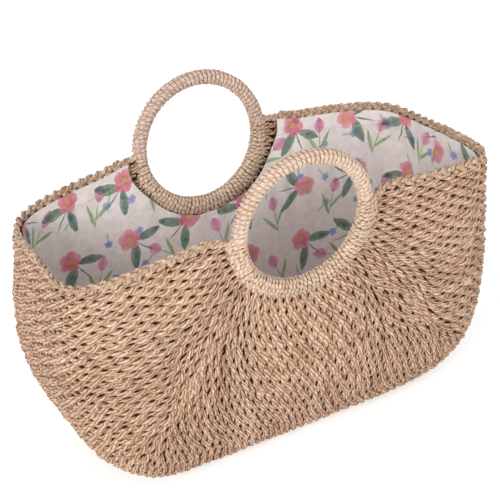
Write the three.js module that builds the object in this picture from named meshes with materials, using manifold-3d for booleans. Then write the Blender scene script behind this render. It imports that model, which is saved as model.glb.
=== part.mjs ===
// Market basket: a woven paper-cord body with two cord-wrapped ring handles and a printed lining.
// Millimetres, +Z up. The origin is the middle of the base, on the surface the basket stands on.
// The long side runs along X, the front panel faces -Y.
import * as THREE from 'three';
import { mergeVertices } from 'three/addons/utils/BufferGeometryUtils.js';
import Module from 'manifold-3d';

const wasm = await Module();
wasm.setup();

// Woven body
const LENGTH = 422;           // outside, across the two ends
const DEPTH = 185;            // outside, across the two panels
const RING_HEIGHT = 238;      // floor to the middle of the ring handles
const WALL = 6.5;             // twined cord wall
const PLAN_POWER = 6.2;       // how square the basket is seen from above
const SIDE_POWER = 5;         // how square it is seen from the side
const FOOT_FLATTEN = 1.5;     // how far the rounded base is pressed flat by the floor
const RIM_RISE = 6.5;         // rim above the ring's middle, at the ring
const RIM_DIP = 20;           // how far the rim sinks from there to the ends
const RIM_DIP_POWER = 1.5;

// Ring handles
const RING_RADIUS = 61;       // centre line of the stiff ring
const CORE_RADIUS = 4;        // stiff ring inside the cord
const CORD = 3;               // paper cord, one layer on the upper arc
const WRAP_PITCH = 4.2;
const BINDING_OUT = 11.5;     // lower arc: cord loops reach this far out from the centre line
const BINDING_IN = 7.5;       // and this far in, towards the hole
const BINDING_THICK = 7.6;    // half thickness through the panel
const BINDING_PITCH = 3.9;
const BINDING_REACH = 94;     // degrees from the lowest point to each end of the lower arc
const RING_LEAN = 4.5;        // degrees, each ring leans outwards at rest
const GROOVE = 0.7;           // depth between neighbouring turns

// Rim plait
const PLAIT_RADIUS = 4.5;
const PLAIT_PITCH = 14;
const PLAIT_GROOVE = 0.9;

// Lining
const CLOTH = 1;
const HEM_BELOW_RIM = 3;
const HEM_DEPTH = 30;         // turned-in top edge of the cloth
const BASE_SEAM = 24;         // height of the seam round the base cloth

// Clearances
const GAP = 0.3;              // between neighbouring pieces
const CLOTH_GAP = 0.5;        // between the weave and the cloth that hangs inside it
const NOTCH_FOOT = 0.4;       // panel to binding, under the ring
const NOTCH_SIDE = 1.5;       // panel to binding, beside the ring, so that the ring can lean

// Mesh fineness
const COLUMNS = 52;           // round the basket, the same on the body and the lining
const ROWS = 11;              // from the middle of the base up to the rim
const SECTION_SIDES = 8;
const CORE_SIDES = 6;
const BORE_STEP = 7;          // degrees of arc to each facet of the bore

const straw = { color: 0xdcb48e, roughness: 0.85, metalness: 0 };
const paleStraw = { color: 0xe9c99c, roughness: 0.8, metalness: 0 };
const rattan = { color: 0xb58a58, roughness: 0.7, metalness: 0 };
const cotton = { color: 0xe6dfe0, roughness: 0.9, metalness: 0 };

const model = new THREE.Group();

function piece(name, geometry, look, parent) {
  geometry.computeVertexNormals();
  const mesh = new THREE.Mesh(geometry, new THREE.MeshStandardMaterial(look));
  mesh.name = name;
  parent.add(mesh);
  return mesh;
}

// One closed skin: shared corners welded, triangles of no area dropped, faces pointing out.
function weld(geometry) {
  const bare = geometry.index ? geometry : geometry.clone();
  for (const extra of ['normal', 'uv']) bare.deleteAttribute(extra);
  const merged = mergeVertices(bare, 1e-4);
  const at = merged.attributes.position;
  const [a, b, c] = [new THREE.Vector3(), new THREE.Vector3(), new THREE.Vector3()];
  const kept = [];
  let volume = 0;
  for (let i = 0; i < merged.index.count; i += 3) {
    const corner = [0, 1, 2].map((k) => merged.index.getX(i + k));
    if (new Set(corner).size < 3) continue;
    kept.push(corner);
    a.fromBufferAttribute(at, corner[0]);
    b.fromBufferAttribute(at, corner[1]);
    c.fromBufferAttribute(at, corner[2]);
    volume += a.dot(b.cross(c));
  }
  if (volume < 0) kept.forEach((corner) => corner.reverse());
  merged.setIndex(kept.flat());
  return merged;
}

function toSolid(geometry, place) {
  const mesh = weld(geometry);
  if (place) mesh.applyMatrix4(place);
  return new wasm.Manifold(new wasm.Mesh({
    numProp: 3,
    vertProperties: new Float32Array(mesh.attributes.position.array),
    triVerts: new Uint32Array(mesh.index.array),
  }));
}

function fromSolid(solid) {
  const mesh = solid.getMesh();
  const geometry = new THREE.BufferGeometry();
  geometry.setAttribute('position', new THREE.BufferAttribute(mesh.vertProperties, 3));
  geometry.setIndex(new THREE.BufferAttribute(mesh.triVerts, 1));
  return geometry;
}

// Body and lining. Heights here are measured from the middle of the rings, downwards negative.

const rimHeight = (x) => RIM_RISE - RIM_DIP * Math.abs(2 * x / LENGTH) ** RIM_DIP_POWER;

// The rounded-box surface of the basket, moved in by `inset`, in the direction (x, y, z).
function onSurface(x, y, z, inset) {
  const a = LENGTH / 2 - inset;
  const b = DEPTH / 2 - inset;
  const c = RING_HEIGHT + FOOT_FLATTEN - inset;
  const plan = Math.abs(x) ** PLAN_POWER + Math.abs(y) ** PLAN_POWER;
  const size = (plan ** (SIDE_POWER / PLAN_POWER) + Math.abs(z) ** SIDE_POWER) ** (1 / SIDE_POWER);
  return new THREE.Vector3(a * x / size, b * y / size, c * z / size);
}

// A bowl turned as a half round with an outer and an inner skin, then drawn out to the basket.
// A bowl nested in another runs its profile the other way, so that their facets lie alike.
function bowl(inset, thickness, below, nested) {
  const inner = 0.9;
  const turn = (skin, row) => {
    const angle = (row / ROWS - 1) * Math.PI / 2;
    return new THREE.Vector2(row === 0 ? 0 : skin * Math.cos(angle), skin * Math.sin(angle));
  };
  const profile = [];
  for (let row = 0; row <= ROWS; row++) profile.push(turn(1, row));
  for (let row = ROWS; row >= 0; row--) profile.push(turn(inner, row));
  if (nested) profile.reverse();
  const geometry = new THREE.LatheGeometry(profile, COLUMNS).rotateX(Math.PI / 2);
  const at = geometry.attributes.position;
  const v = new THREE.Vector3();
  for (let i = 0; i < at.count; i++) {
    v.fromBufferAttribute(at, i);
    const inside = v.length() < (1 + inner) / 2;
    v.normalize();
    const p = onSurface(v.x, v.y, v.z, inside ? inset + thickness : inset);
    const high = Math.max(0, 1 + p.z / RING_HEIGHT) ** 2;
    const atRim = Math.max(0, 1 + p.z / HEM_DEPTH);
    p.z = Math.max(p.z, -RING_HEIGHT) + rimHeight(p.x) * high - below * atRim;
    at.setXYZ(i, p.x, p.y, p.z);
  }
  return toSolid(geometry);
}

// Where a handle stands: its foot is the lowest point of the ring, in the middle of the wall.
function handlePlace(side) {
  const foot = new THREE.Vector3(0, side * (DEPTH - WALL) / 2, -RING_RADIUS);
  const lean = -side * THREE.MathUtils.degToRad(RING_LEAN);
  return new THREE.Matrix4().makeRotationX(lean).setPosition(foot);
}

// The half-round bite out of a panel that its ring sits in.
function notch(side) {
  const radius = RING_RADIUS + BINDING_OUT + NOTCH_SIDE;
  const round = new THREE.CylinderGeometry(radius, radius, DEPTH / 2, 72);
  round.translate(0, 0, RING_RADIUS + NOTCH_SIDE - NOTCH_FOOT);
  return toSolid(round, handlePlace(side));
}

function block(x0, x1, y0, y1, z0, z1) {
  const box = new THREE.BoxGeometry(x1 - x0, y1 - y0, z1 - z0);
  return toSolid(box.translate((x0 + x1) / 2, (y0 + y1) / 2, (z0 + z1) / 2));
}

const notches = notch(-1).add(notch(1));
const basket = new THREE.Group();
basket.position.z = RING_HEIGHT;
model.add(basket);

const body = bowl(0, WALL, 0, false).subtract(notches);
piece('woven_body', fromSolid(body), straw, basket);

const lining = bowl(WALL + CLOTH_GAP, CLOTH, HEM_BELOW_RIM, true).subtract(notches);
const seam = BASE_SEAM - RING_HEIGHT;
const [wide, tall] = [LENGTH, 2 * RING_HEIGHT];
const frontCloth = lining.intersect(block(-wide, wide, -wide, -GAP / 2, seam + GAP / 2, tall));
const backCloth = lining.intersect(block(-wide, wide, GAP / 2, wide, seam + GAP / 2, tall));
const baseCloth = lining.intersect(block(-wide, wide, -wide, wide, -tall, seam - GAP / 2));
piece('lining_front_panel', fromSolid(frontCloth), cotton, basket);
piece('lining_back_panel', fromSolid(backCloth), cotton, basket);
piece('lining_base', fromSolid(baseCloth), cotton, basket);

// Cord work. A skin is drawn over a run of rings, each with the same number of points.
function skin(rings, closed) {
  const sides = rings[0].length;
  const corners = rings.flat().flatMap((p) => [p.x, p.y, p.z]);
  const faces = [];
  const spans = closed ? rings.length : rings.length - 1;
  for (let i = 0; i < spans; i++) {
    for (let j = 0; j < sides; j++) {
      const next = ((i + 1) % rings.length) * sides;
      const side = (j + 1) % sides;
      faces.push(i * sides + j, i * sides + side, next + j, i * sides + side, next + side, next + j);
    }
  }
  if (!closed) {
    for (let j = 1; j < sides - 1; j++) {
      const last = (rings.length - 1) * sides;
      faces.push(0, j + 1, j, last, last + j, last + j + 1);
    }
  }
  const geometry = new THREE.BufferGeometry();
  geometry.setAttribute('position', new THREE.Float32BufferAttribute(corners, 3));
  geometry.setIndex(faces);
  return weld(geometry);
}

// Turns of cord round part of the ring core: grooved outside, with the core's bore inside.
// Angles are in degrees from the ring's lowest point; the section reaches `out` and `inn`
// from the centre line and is `thick` each way through the panel.
function turnsOnRing(from, to, pitch, out, inn, thick) {
  const start = THREE.MathUtils.degToRad(from);
  const sweep = THREE.MathUtils.degToRad(to - from);
  const turns = Math.round(RING_RADIUS * sweep / pitch);
  const section = (angle, cut, bore) => {
    const points = [];
    for (let j = 0; j < SECTION_SIDES; j++) {
      const round = 2 * Math.PI * j / SECTION_SIDES;
      const reach = (out + inn) / 2 - cut;
      const radial = bore ? bore * Math.cos(round) : (out - inn) / 2 + reach * Math.cos(round);
      const through = (bore || thick - cut) * Math.sin(round);
      const r = RING_RADIUS + radial;
      points.push(new THREE.Vector3(r * Math.sin(angle), through, RING_RADIUS - r * Math.cos(angle)));
    }
    return points;
  };
  const rings = [];
  for (let turn = 0; turn < turns; turn++) {
    rings.push(section(start + sweep * turn / turns, GROOVE));
    rings.push(section(start + sweep * (turn + 0.5) / turns, 0));
  }
  rings.push(section(start + sweep, GROOVE));
  const boreRings = Math.ceil((to - from) / BORE_STEP);
  const bore = (CORE_RADIUS + GAP) / Math.cos(Math.PI / SECTION_SIDES);
  for (let k = boreRings; k >= 0; k--) rings.push(section(start + sweep * k / boreRings, 0, bore));
  return skin(rings, true);
}

const endGap = THREE.MathUtils.radToDeg(GAP / RING_RADIUS);
const wrapRadius = CORE_RADIUS + CORD;
for (const [side, name] of [[-1, 'front'], [1, 'back']]) {
  const handle = new THREE.Group();
  handle.applyMatrix4(handlePlace(side));
  basket.add(handle);

  const core = new THREE.TorusGeometry(RING_RADIUS, CORE_RADIUS, CORE_SIDES, 44);
  core.rotateX(Math.PI / 2).translate(0, 0, RING_RADIUS);
  piece(`${name}_ring_core`, weld(core), rattan, handle);

  const upper = turnsOnRing(BINDING_REACH + endGap, 360 - BINDING_REACH - endGap,
    WRAP_PITCH, wrapRadius, wrapRadius, wrapRadius);
  piece(`${name}_ring_wrap`, upper, name === 'front' ? paleStraw : straw, handle);

  const lower = turnsOnRing(-BINDING_REACH, BINDING_REACH,
    BINDING_PITCH, BINDING_OUT, BINDING_IN, BINDING_THICK);
  piece(`${name}_ring_binding`, lower, straw, handle);
}

// The plait along the rim, from the front ring round one end to the back ring.
function rimPlait(side) {
  const first = RING_RADIUS + BINDING_OUT + NOTCH_SIDE + PLAIT_GROOVE;
  const a = (LENGTH - WALL) / 2;
  const b = (DEPTH - WALL) / 2;
  const reach = Math.atan2((1 - (first / a) ** PLAN_POWER) ** (1 / PLAN_POWER), first / a);
  const path = [];
  for (let i = 0; i <= 60; i++) {
    const angle = reach * (i / 30 - 1);
    const p = onSurface(side * Math.cos(angle), Math.sin(angle), 0, WALL / 2);
    path.push(new THREE.Vector3(p.x, p.y, rimHeight(p.x) + GAP + PLAIT_RADIUS));
  }
  const line = new THREE.CatmullRomCurve3(path);
  const strands = Math.round(line.getLength() / PLAIT_PITCH);
  const rings = [];
  const up = new THREE.Vector3(0, 0, 1);
  for (let i = 0; i <= 2 * strands; i++) {
    const centre = line.getPointAt(i / (2 * strands));
    const along = line.getTangentAt(i / (2 * strands));
    const across = new THREE.Vector3().crossVectors(along, up).normalize();
    const over = new THREE.Vector3().crossVectors(across, along);
    const radius = PLAIT_RADIUS - (i % 2 ? 0 : PLAIT_GROOVE);
    const ring = [];
    for (let j = 0; j < SECTION_SIDES; j++) {
      const round = 2 * Math.PI * (j + 0.5) / SECTION_SIDES;
      ring.push(centre.clone()
        .addScaledVector(across, radius * Math.cos(round))
        .addScaledVector(over, radius * Math.sin(round)));
    }
    rings.push(ring);
  }
  return skin(rings, false);
}

piece('left_rim_plait', rimPlait(-1), straw, basket);
piece('right_rim_plait', rimPlait(1), straw, basket);

export default model;
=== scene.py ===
import math

import bpy
import numpy as np
from mathutils import Matrix, Vector


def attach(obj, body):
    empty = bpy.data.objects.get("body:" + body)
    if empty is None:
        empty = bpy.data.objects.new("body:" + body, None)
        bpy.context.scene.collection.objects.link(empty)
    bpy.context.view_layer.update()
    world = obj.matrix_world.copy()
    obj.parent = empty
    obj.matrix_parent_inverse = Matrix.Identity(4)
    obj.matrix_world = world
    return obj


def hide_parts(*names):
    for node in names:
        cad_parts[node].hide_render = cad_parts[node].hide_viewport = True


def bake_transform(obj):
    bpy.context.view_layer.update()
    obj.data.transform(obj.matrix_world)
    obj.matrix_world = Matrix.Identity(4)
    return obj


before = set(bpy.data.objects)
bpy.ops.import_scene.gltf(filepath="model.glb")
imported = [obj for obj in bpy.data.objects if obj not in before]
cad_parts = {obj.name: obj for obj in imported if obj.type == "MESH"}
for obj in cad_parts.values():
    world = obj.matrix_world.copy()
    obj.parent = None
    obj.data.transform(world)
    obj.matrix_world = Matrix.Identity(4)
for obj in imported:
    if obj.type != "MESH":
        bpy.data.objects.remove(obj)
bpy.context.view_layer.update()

# Sizes are in millimetres and angles in degrees. Heights are from the middle of the rings, down negative.

# Woven body, as in the solids.
LENGTH = 422.0
DEPTH = 185.0
RING_HEIGHT = 238.0           # floor to the middle of the rings
WALL = 6.5
PLAN_POWER = 6.2              # how square the basket is seen from above
SIDE_POWER = 5.0              # how square it is seen from the side
FOOT_FLATTEN = 1.5            # how far the rounded base is pressed flat by the floor
RIM_RISE = 6.5                # rim above the middle of the ring, at the ring
RIM_DIP = 20.0                # how far the rim sinks from there to the ends
RIM_DIP_POWER = 1.5

# Ring handles, as in the solids.
RING_RADIUS = 61.0            # to the middle of the stiff ring
RING_LEAN = 4.5
CORE_RADIUS = 4.0
WRAP_CORD = 3.0
WRAP_PITCH = 4.2
BINDING_OUT = 11.5            # the lower arc's loops reach this far out from the middle of the stiff ring
BINDING_IN = 7.5              # and this far in, towards the hole
BINDING_THICK = 7.6           # half thickness through the panel
BINDING_PITCH = 3.9
BINDING_REACH = 94.0          # from the lowest point of the ring to each end of the lower arc
LONG_LOOP = 1.3               # every other loop reaches this much further out
END_GAP = 0.3                 # from there to the wrap's first turn

# Two-ply cords: how far a ply's middle lies off the cord's, the ply's radius, and the length of one turn.
WRAP_PLIES = (0.86, 1.3, 13.0)
BINDING_PLIES = (0.8, 1.28, 13.0)
PLAIT_PLIES = (1.05, 1.25, 12.0)
PRESSED = 0.5                 # the plies' winding is this much flatter than it is wide

# Lining. Its cloth is thinner than the solids', and its upper edge stands higher, up behind the rim plait.
LINING_INSET = WALL + 0.5
CLOTH = 0.8
HEM_RISE = 0.9                # upper edge above the rim of the woven wall
RIM_FADE = 30.0               # height over which a moved upper edge comes back to the wall's shape
HEM_WIDTH = 14.0
BASE_SEAM = 24.0              # height of the seam round the base cloth
SLACK, SLACK_WAVES = 2.1, 1.35        # how far the cloth hangs in from the weave, and how much that changes
GATHERS = 0.9                 # half the height of the small gathers
HEM_THICK, SEAM_THICK = 0.6, 0.7
STITCH_PITCH = 4.2
THREAD = (0.26, 0.24)         # half the thread's width and thickness
BACK_PRINT = (370, 41)        # where the back panels' cloth is cut from the print
BASE_PRINT = (31, 17)
NOTCH_RADIUS = RING_RADIUS + BINDING_OUT - 0.1      # the cloth's edge lies just under the binding

# Rim plait. It is flat and stands lower and further in than the solids' round one.
PLAIT_START = NOTCH_RADIUS
PLAIT_RISE = 2.9              # its middle above the rim of the woven wall
PLAIT_INSET = 4.1
PLAIT_PERIOD = 31.0           # a strand's way up, down and back
PLAIT_SWING, PLAIT_DIVE = 3.0, 2.0    # how far a strand goes up and down, and out and in
PLAIT_HEART = (1.9, 1.0)      # half sizes of the cord that fills its middle
PLAIT_STEP = 1.6              # spacing of the cross-sections
TUCK = 14.0                   # the first end is tucked in beside the ring over this length
TUCK_DOWN, TUCK_IN, TUCK_OUT = 4.0, 3.4, 4.8        # down, towards the ring, and out through the panel

# The weave: columns of two cords that swing against each other.
CORD = 4.5                    # thickness of one cord
CORD_DEPTH = 3.0              # middle of the wall's cords, in from the outside
CORD_LAY = -26.0              # one turn of a cord's two plies; the sign is the way they wind
CORD_WIDE, CORD_DEEP = 1.05, 0.92     # a cord is a little flatter than round
BASE_PITCH, END_PITCH = 8.1, 8.6      # column to column along the middle of the base and of the ends
TWINE = 18.8                  # length of one full swing
SWING, DIVE = 0.6, 1.15       # how far a cord swings sideways, and in and out of the surface
SWELL = 0.16                  # share by which a cord is fuller on top and thinner below
DRIFT, DRIFT_STEP = 0.7, 26.0         # the swing comes this many radians early or late, changing so often
STRAY, STRAY_STEP = 0.33, 9.0         # a cord strays this far sideways, changing so often
UNEVEN_LIFT, UNEVEN_SIZE = 0.12, 0.05     # how much one cord's lift and its share of thickness differ
WEAVE_START = 67.0            # the cords come out from under the ring's binding here
STEP = 2.2                    # spacing of the cross-sections along a cord
LONGEST = 460.0               # no column is longer than this
PATH_INSET = 2.0              # the columns' paths are laid out this far in from the outside
COLUMN_RISE, CORD_RISE = 1.9, 1.7     # a column's middle and a cord's middle stay this far above the floor
LEVELS = 16                   # columns nearer than this to the corner one start late, between others

# The inner side of the weave, seen between the cords: a sheet painted dark brown as the shade there.
INNER_START = 68.5            # radius from the ring's middle at which it begins
INNER_SKINS = (3.3, 4.1)      # insets of its two faces
INNER_DROP = 1.5              # its upper edge below the rim

# How the soft body stands in the photograph.
RIM_DRAWN_IN, BACK_DRAWN_IN = 0.012, 0.030    # shares of x: in the middle, and what the back gets more
RIM_DRAWN_DOWN = 3.4
LEFT_FULLER = 5.0
LEFT_SIDE_IN, LEFT_FOOT_IN = 5.0, 6.0
CORNER_FORWARDS = 6.0
FREE_OF_RING = 76.0           # from here outwards the ring no longer holds the rim up

# A cord's strip in its texture space is 1 wide. Its surface takes up this part of it.
STRIP_START, STRIP_WIDTH = 0.05, 0.9


def ramp(value, start, end):
    """Eases from 0 to 1 as the value goes from start to end."""
    x = np.clip((value - start) / (end - start), 0, 1)
    return x * x * (3 - 2 * x)


def unit(v):
    """Vectors of the same directions and of length 1."""
    return v / np.maximum(np.linalg.norm(v, axis=-1, keepdims=True), 1e-9)


def along_of(p):
    """The distance of each point from the first one, along the line through them."""
    return np.concatenate([[0], np.cumsum(np.linalg.norm(np.diff(p, axis=0), axis=1))])


def sampled(at, s, points):
    """The points at the distances at, on a line whose own points lie at the distances s."""
    return np.stack([np.interp(at, s, points[:, axis]) for axis in range(3)], -1)


def wandering(chance, at, every, spread, reach):
    """A value that drifts by chance along a line as long as reach. every: the distance between its aims."""
    places = np.arange(0, reach, every)
    return np.interp(at, places, chance.normal(0, spread, len(places)))


def to_panel(front):
    """What takes points of the front panel to the one that is made."""
    return [1, 1, 1] if front else [1, -1, 1]


# The basket's surface

def rim_height(x):
    """The rim of the woven wall, high beside the rings and low at the ends."""
    return RIM_RISE - RIM_DIP * np.abs(2 * x / LENGTH) ** RIM_DIP_POWER


def rim_lift(x, z):
    """How far the rim's shape lifts a point of the wall: wholly at the top, not at all at the foot."""
    return rim_height(x) * np.maximum(0, 1 + z / RING_HEIGHT) ** 2


def on_surface(d, inset, below=0.0):
    """Points of the rounded-box surface, moved in by inset, in the directions d, and the way out at each.
    below lowers the upper edge."""
    half = np.array([LENGTH / 2, DEPTH / 2, RING_HEIGHT + FOOT_FLATTEN]) - np.asarray(inset, float)[..., None]
    plan = np.abs(d[..., 0]) ** PLAN_POWER + np.abs(d[..., 1]) ** PLAN_POWER
    size = (plan ** (SIDE_POWER / PLAN_POWER) + np.abs(d[..., 2]) ** SIDE_POWER) ** (1 / SIDE_POWER)
    u = d / size[..., None]
    p = u * half
    plan = np.maximum(np.abs(u[..., 0]) ** PLAN_POWER + np.abs(u[..., 1]) ** PLAN_POWER, 1e-12)
    flat = plan ** (SIDE_POWER / PLAN_POWER - 1)
    out = np.stack([flat * np.sign(u[..., 0]) * np.abs(u[..., 0]) ** (PLAN_POWER - 1),
                    flat * np.sign(u[..., 1]) * np.abs(u[..., 1]) ** (PLAN_POWER - 1),
                    np.sign(u[..., 2]) * np.abs(u[..., 2]) ** (SIDE_POWER - 1)], -1) / half
    lowered = below * np.maximum(0, 1 + p[..., 2] / RIM_FADE)
    p[..., 2] = np.maximum(p[..., 2], -RING_HEIGHT) + rim_lift(p[..., 0], p[..., 2]) - lowered
    return p, unit(out)


def slump(p):
    """How the soft body stands in the photograph: the back of the rim drawn in and down, the left end fuller
    at half height and narrower at its foot, and the foot's front left corner pushed forwards."""
    x, y, down = p[..., 0], p[..., 1], -p[..., 2]
    back = y / (DEPTH / 2)                       # 1 at the back panel, -1 at the front one
    rim = ramp(down, 150, 0)
    left = ramp(-x, 110, 200)
    drawn_in = rim * ramp(np.abs(x), FREE_OF_RING, 166) * (RIM_DRAWN_IN + BACK_DRAWN_IN * back)
    drawn_down = RIM_DRAWN_DOWN * rim * ramp(np.abs(x), FREE_OF_RING, 106) * ramp(back, -0.3, 0.6)
    fuller = LEFT_FULLER * left * ramp(down, 15, 85) * ramp(down, 215, 155)
    narrower = LEFT_FOOT_IN * left * ramp(down, 170, 230)
    narrower += LEFT_SIDE_IN * left * ramp(down, 110, 170) * (1 - 0.6 * ramp(-back, 0.3, 1))
    corner = CORNER_FORWARDS * ramp(-x, 90, 170) * ramp(-back, 0.2, 1) * ramp(down, 120, 200)
    return np.stack([x * (1 - drawn_in) - fuller + narrower, y - corner, -down - drawn_down], -1)


# Meshes and cords

def make(name, points, faces, uv, material, soft=True, sharp=None):
    """A mesh object from points in millimetres from the rings' middle. A soft one slumps with the body. Edges
    sharper than sharp degrees aren't shaded smooth."""
    points = slump(np.asarray(points, float)) if soft else np.asarray(points, float)
    world = (points + [0, 0, RING_HEIGHT]) / 1000
    mesh = bpy.data.meshes.new(name)
    faces = np.asarray(faces)
    mesh.vertices.add(len(world))
    mesh.vertices.foreach_set("co", world.astype(np.float32).ravel())
    mesh.loops.add(faces.size)
    mesh.loops.foreach_set("vertex_index", faces.astype(np.int32).ravel())
    mesh.polygons.add(len(faces))
    mesh.polygons.foreach_set("loop_start", np.arange(0, faces.size, faces.shape[1], dtype=np.int32))
    mesh.update(calc_edges=True)
    layer = mesh.uv_layers.new(name="cloth_and_cord")
    layer.data.foreach_set("uv", np.asarray(uv, np.float32).ravel())
    mesh.polygons.foreach_set("use_smooth", np.ones(len(faces), bool))
    if sharp:
        mesh.set_sharp_from_angle(angle=math.radians(sharp))
    mesh.validate()
    o = bpy.data.objects.new(name, mesh)
    bpy.context.scene.collection.objects.link(o)
    mesh.materials.append(material)
    return o


def across_cord(line, out, ring):
    """Directions across a cord at each of its points: the way its flat side faces, and sideways."""
    along = unit(np.roll(line, -1, 0) - np.roll(line, 1, 0)) if ring else unit(np.gradient(line, axis=0))
    out = unit(out - (out * along).sum(1, keepdims=True) * along)
    return out, np.cross(along, out)


class Cords:
    """Gathers many cords into one mesh. Each has cross-sections along a line, and closed ends."""

    def __init__(self):
        self.points, self.faces, self.uv, self.count, self.cords = [], [], [], 0, 0

    def add(self, line, out, wide, deep, sides=6, ring=False, floor=None, lay=None):
        """line: the middle of the cord. out: the way its flat side faces. wide, deep: half sizes along it.
        With a lay, the section is pinched in the middle like two plies, and turns once in each lay."""
        n = len(line)
        out, side = across_cord(line, out, ring)
        length = along_of(line)
        turn = 2 * np.pi * np.arange(sides) / sides
        pinched = 1 + (0.2 if lay else 0) * np.cos(2 * turn)
        turn = turn + (2 * np.pi / lay * length if lay else 0 * length)[:, None]
        wide = np.broadcast_to(wide, n)[:, None] * pinched
        deep = np.broadcast_to(deep, n)[:, None] * pinched
        p = line[:, None] + side[:, None] * (wide * np.cos(turn))[..., None]
        p = p + out[:, None] * (deep * np.sin(turn))[..., None]
        if floor is not None:
            p[..., 2] = np.maximum(p[..., 2], floor)
        self.points.append(p.reshape(-1, 3))

        i, j = np.meshgrid(np.arange(n if ring else n - 1), np.arange(sides), indexing="ij")
        i2, j2 = (i + 1) % n, (j + 1) % sides
        quads = np.stack([i * sides + j, i * sides + j2, i2 * sides + j2, i2 * sides + j], -1).reshape(-1, 4)
        self.faces.append(quads + self.count)
        lengths = np.append(length, length[-1] + STEP)
        u0, u1 = (self.cords + STRIP_START + STRIP_WIDTH * at / sides for at in (j, j + 1))
        v0, v1 = lengths[i], lengths[i + 1]
        corners = [np.stack([u, v], -1) for u, v in ((u0, v0), (u1, v0), (u1, v1), (u0, v1))]
        self.uv.append(np.stack(corners, 2).reshape(-1, 4, 2))

        if not ring:
            self.close(line, floor, n, sides, length[-1])
        self.count += n * sides
        self.cords += 1

    def close(self, line, floor, n, sides, length):
        """Closes both ends of the cord that is being added with one more point and a fan round it."""
        tips = np.array([line[0], line[-1]])
        if floor is not None:
            tips[:, 2] = np.maximum(tips[:, 2], floor + 0.1)
        self.points.append(tips)
        j = np.arange(0, sides, 2)
        for first, tip in ((0, 0), ((n - 1) * sides, 1)):
            a, b, c = first + j, first + (j + 1) % sides, first + (j + 2) % sides
            middle = np.full(len(j), n * sides + tip)
            fan = np.stack([middle, a, b, c] if tip else [middle, c, b, a], -1)
            self.faces.append(fan + self.count)
            self.uv.append(np.tile([self.cords + 0.5, length * tip], (4 * len(j), 1)).reshape(-1, 4, 2))
        self.count += 2

    def add_pair(self, line, out, spread, size, lay, turn=0.0, ring=False):
        """Two plies that wind round each other once in each lay, pressed flat against what they lie on."""
        out, side = across_cord(line, out, ring)
        s = along_of(line)
        if ring:
            whole = s[-1] + np.linalg.norm(line[0] - line[-1])
            lay = whole / round(whole / lay)
        for ply in (0, np.pi):
            wind = turn + ply + 2 * np.pi * s / lay
            sideways, lift = spread * np.cos(wind), PRESSED * spread * np.sin(wind)
            middle = line + side * sideways[:, None] + out * lift[:, None]
            self.add(middle, out, size, size * 0.95, ring=ring)

    def object(self, name, material, soft=True):
        """The mesh object of all the cords."""
        return make(name, np.concatenate(self.points), np.concatenate(self.faces),
                    np.concatenate(self.uv), material, soft)


# The paths that the weave follows

def middle_line():
    """The line round the middle of the base and of one end, up to the rim: its place in the cube of
    directions, from 0 in the middle of the base over 1 at the corner to 2 at the rim, and its length up to
    there."""
    s = np.linspace(0, 2, 801)
    d = np.stack([np.minimum(s, 1), 0 * s, -np.minimum(1, 2 - s)], -1)
    return s, along_of(on_surface(d, PATH_INSET)[0])


MIDDLE_PLACE, MIDDLE_DISTANCE = middle_line()
TOTAL = MIDDLE_DISTANCE[-1]
CORNER = float(np.interp(1.0, MIDDLE_PLACE, MIDDLE_DISTANCE))
BASE_COLUMNS = round(CORNER / BASE_PITCH)
END_COLUMNS = round((TOTAL - CORNER) / END_PITCH)
COLUMNS = BASE_COLUMNS + END_COLUMNS - 1            # columns on each side of the middle one
LAST_ANGLE = 93.0                                   # the outermost column leaves the ring this far round
PANEL_ROWS, UNDER_ROWS = 90, 40                     # points of a path on the panel, and on to the middle


def middle_distance(k):
    """How far column k (or a fraction) lies from the middle of the base, along the basket's middle."""
    k = np.abs(k)
    base = k * CORNER / BASE_COLUMNS
    end = CORNER + (k - BASE_COLUMNS) * (TOTAL - CORNER) / (END_COLUMNS - 0.5)
    return np.where(k < BASE_COLUMNS, base, end)


def leaving_angle(e):
    """Where on the ring a column leaves that ends at the distance e, in degrees from its lowest point. The
    columns fan out as in the photograph: many leave between 40 and 55 degrees, for the lower corner."""
    last = TOTAL + 4                             # just above the rim
    ends_at = np.array([0, 51, CORNER, TOTAL - 57, last])
    leaves_at = np.array([0, 40, 47, 55, LAST_ANGLE])
    fine = np.linspace(-30, last + 30, 900)
    raw = np.interp(np.abs(fine), ends_at, leaves_at) * np.sign(fine)
    raw = np.where(fine > last, LAST_ANGLE + (fine - last) * 0.66, raw)
    window = np.hanning(61)                      # rounds the bends off over 30 mm
    soft = np.convolve(np.pad(raw, 30, mode="edge"), window / window.sum(), "valid")
    return np.interp(e, fine, soft)


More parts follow.
